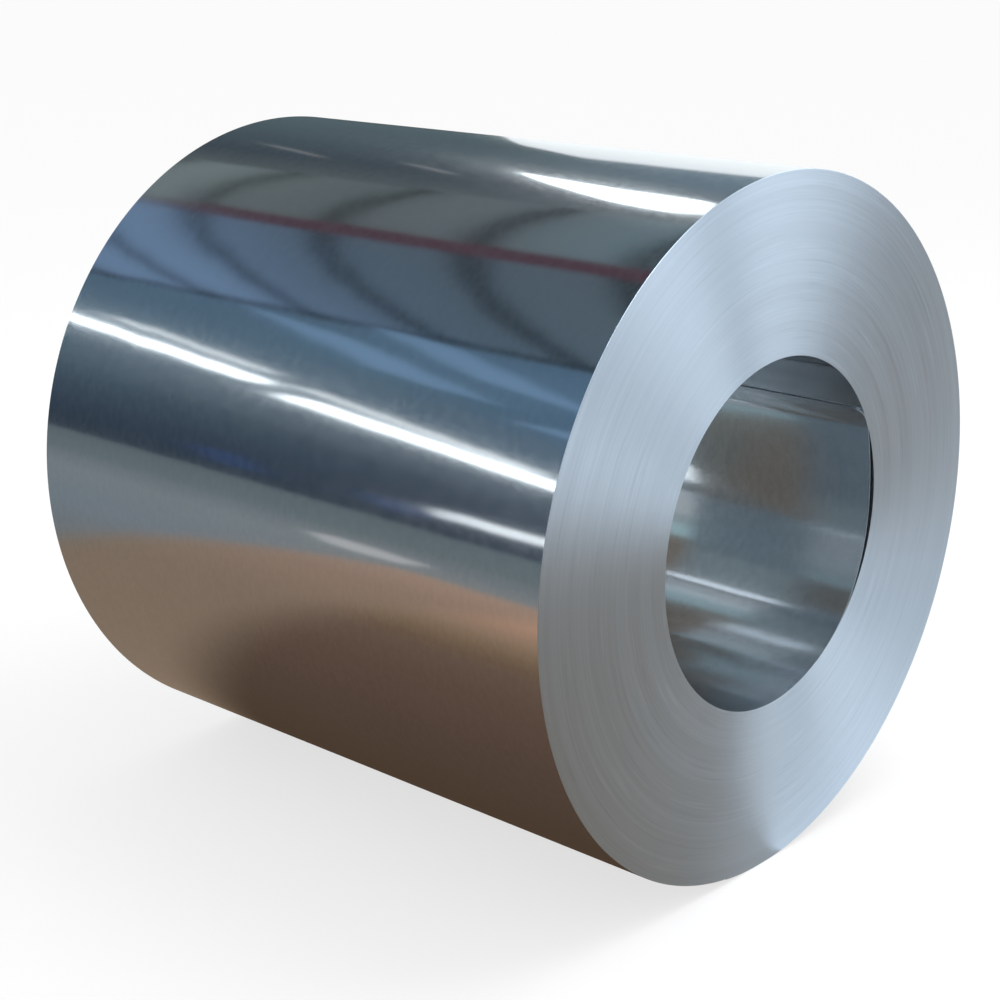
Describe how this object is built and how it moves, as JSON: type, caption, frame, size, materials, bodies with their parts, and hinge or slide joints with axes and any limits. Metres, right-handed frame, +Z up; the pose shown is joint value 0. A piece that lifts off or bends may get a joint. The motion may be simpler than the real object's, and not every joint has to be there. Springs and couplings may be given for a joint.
{
  "type": "steel coil",
  "caption": "Coil of bright galvanised steel sheet, wound tight on itself and lying on its round side, with a wide open bore for a mandrel or lifting hook.",
  "frame": {"origin": "on the floor, under the middle of the coil as it lies on its round side", "axes": "+X along the bore towards the end that the picture shows, +Z up, +Y away from the round side that the picture shows"},
  "size_m": [1.002, 1.0158, 1.0157],
  "materials": {
    "zinc_sheet": "bright galvanised: near mirror on the sheet, satin on the wound edges"
  },
  "bodies": {
    "root": {"steel_coil": "zinc_sheet"}
  },
  "joints": []
}
